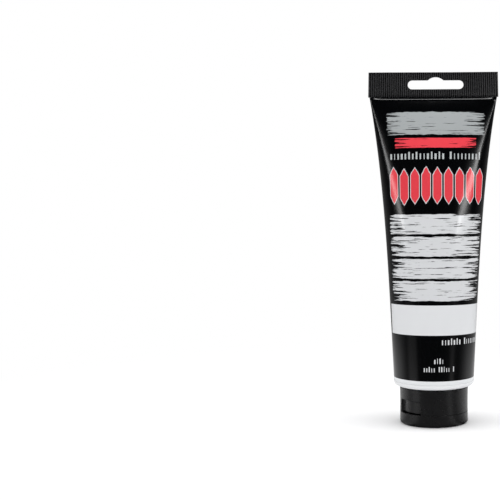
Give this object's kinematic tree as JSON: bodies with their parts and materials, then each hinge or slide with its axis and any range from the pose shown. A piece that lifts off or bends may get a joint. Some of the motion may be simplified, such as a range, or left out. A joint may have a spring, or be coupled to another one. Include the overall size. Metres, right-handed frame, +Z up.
{
  "type": "paint tube",
  "caption": "Squeezable plastic paint tube with a ribbed flat crimp and hanging slot, standing on a flip-top screw cap.",
  "frame": {"origin": "centre of the surface that the cap stands on, on the tube's axis", "axes": "+Z up the tube to the crimp, +X along the crimp, -Y out of the printed front"},
  "size_m": [0.08, 0.05, 0.2165],
  "materials": {
    "printed_sleeve": "satin black print on a white plastic sleeve",
    "crimped_sleeve": "satin black, pressed ribs",
    "white_head": "satin moulded",
    "cap_plastic": "satin moulded black",
    "web_plastic": "satin moulded black",
    "foil": "bright foil",
    "paint": "wet white paint"
  },
  "bodies": {
    "tube": {"tube_sleeve": "printed_sleeve", "end_crimp": "crimped_sleeve", "tube_shoulder": "white_head", "paint_fill": "paint"},
    "seal": {"foil_seal": "foil"},
    "cap": {"cap_base": "cap_plastic", "hinge_web": "web_plastic"},
    "lid": {"cap_lid": "cap_plastic"}
  },
  "joints": [
    {"name": "cap_turn", "type": "hinge", "parent": "tube", "child": "seal", "pos_m": [0, 0, 0.0104], "axis": [0, 0, -1], "range_deg": [0, 720]},
    {"name": "cap_travel", "type": "slide", "parent": "seal", "child": "cap", "axis": [0, 0, -1], "range_m": [0, 0.006]},
    {"name": "lid_flip", "type": "hinge", "parent": "cap", "child": "lid", "pos_m": [0.01585, 0.01427, 0.00735], "axis": [0.6691, -0.7431, 0], "range_deg": [0, 160], "deforming": ["hinge_web"]}
  ],
  "couplings": [
    {"joint": "cap_travel", "follows": "cap_turn", "m_per_rad": 0.00047746}
  ]
}
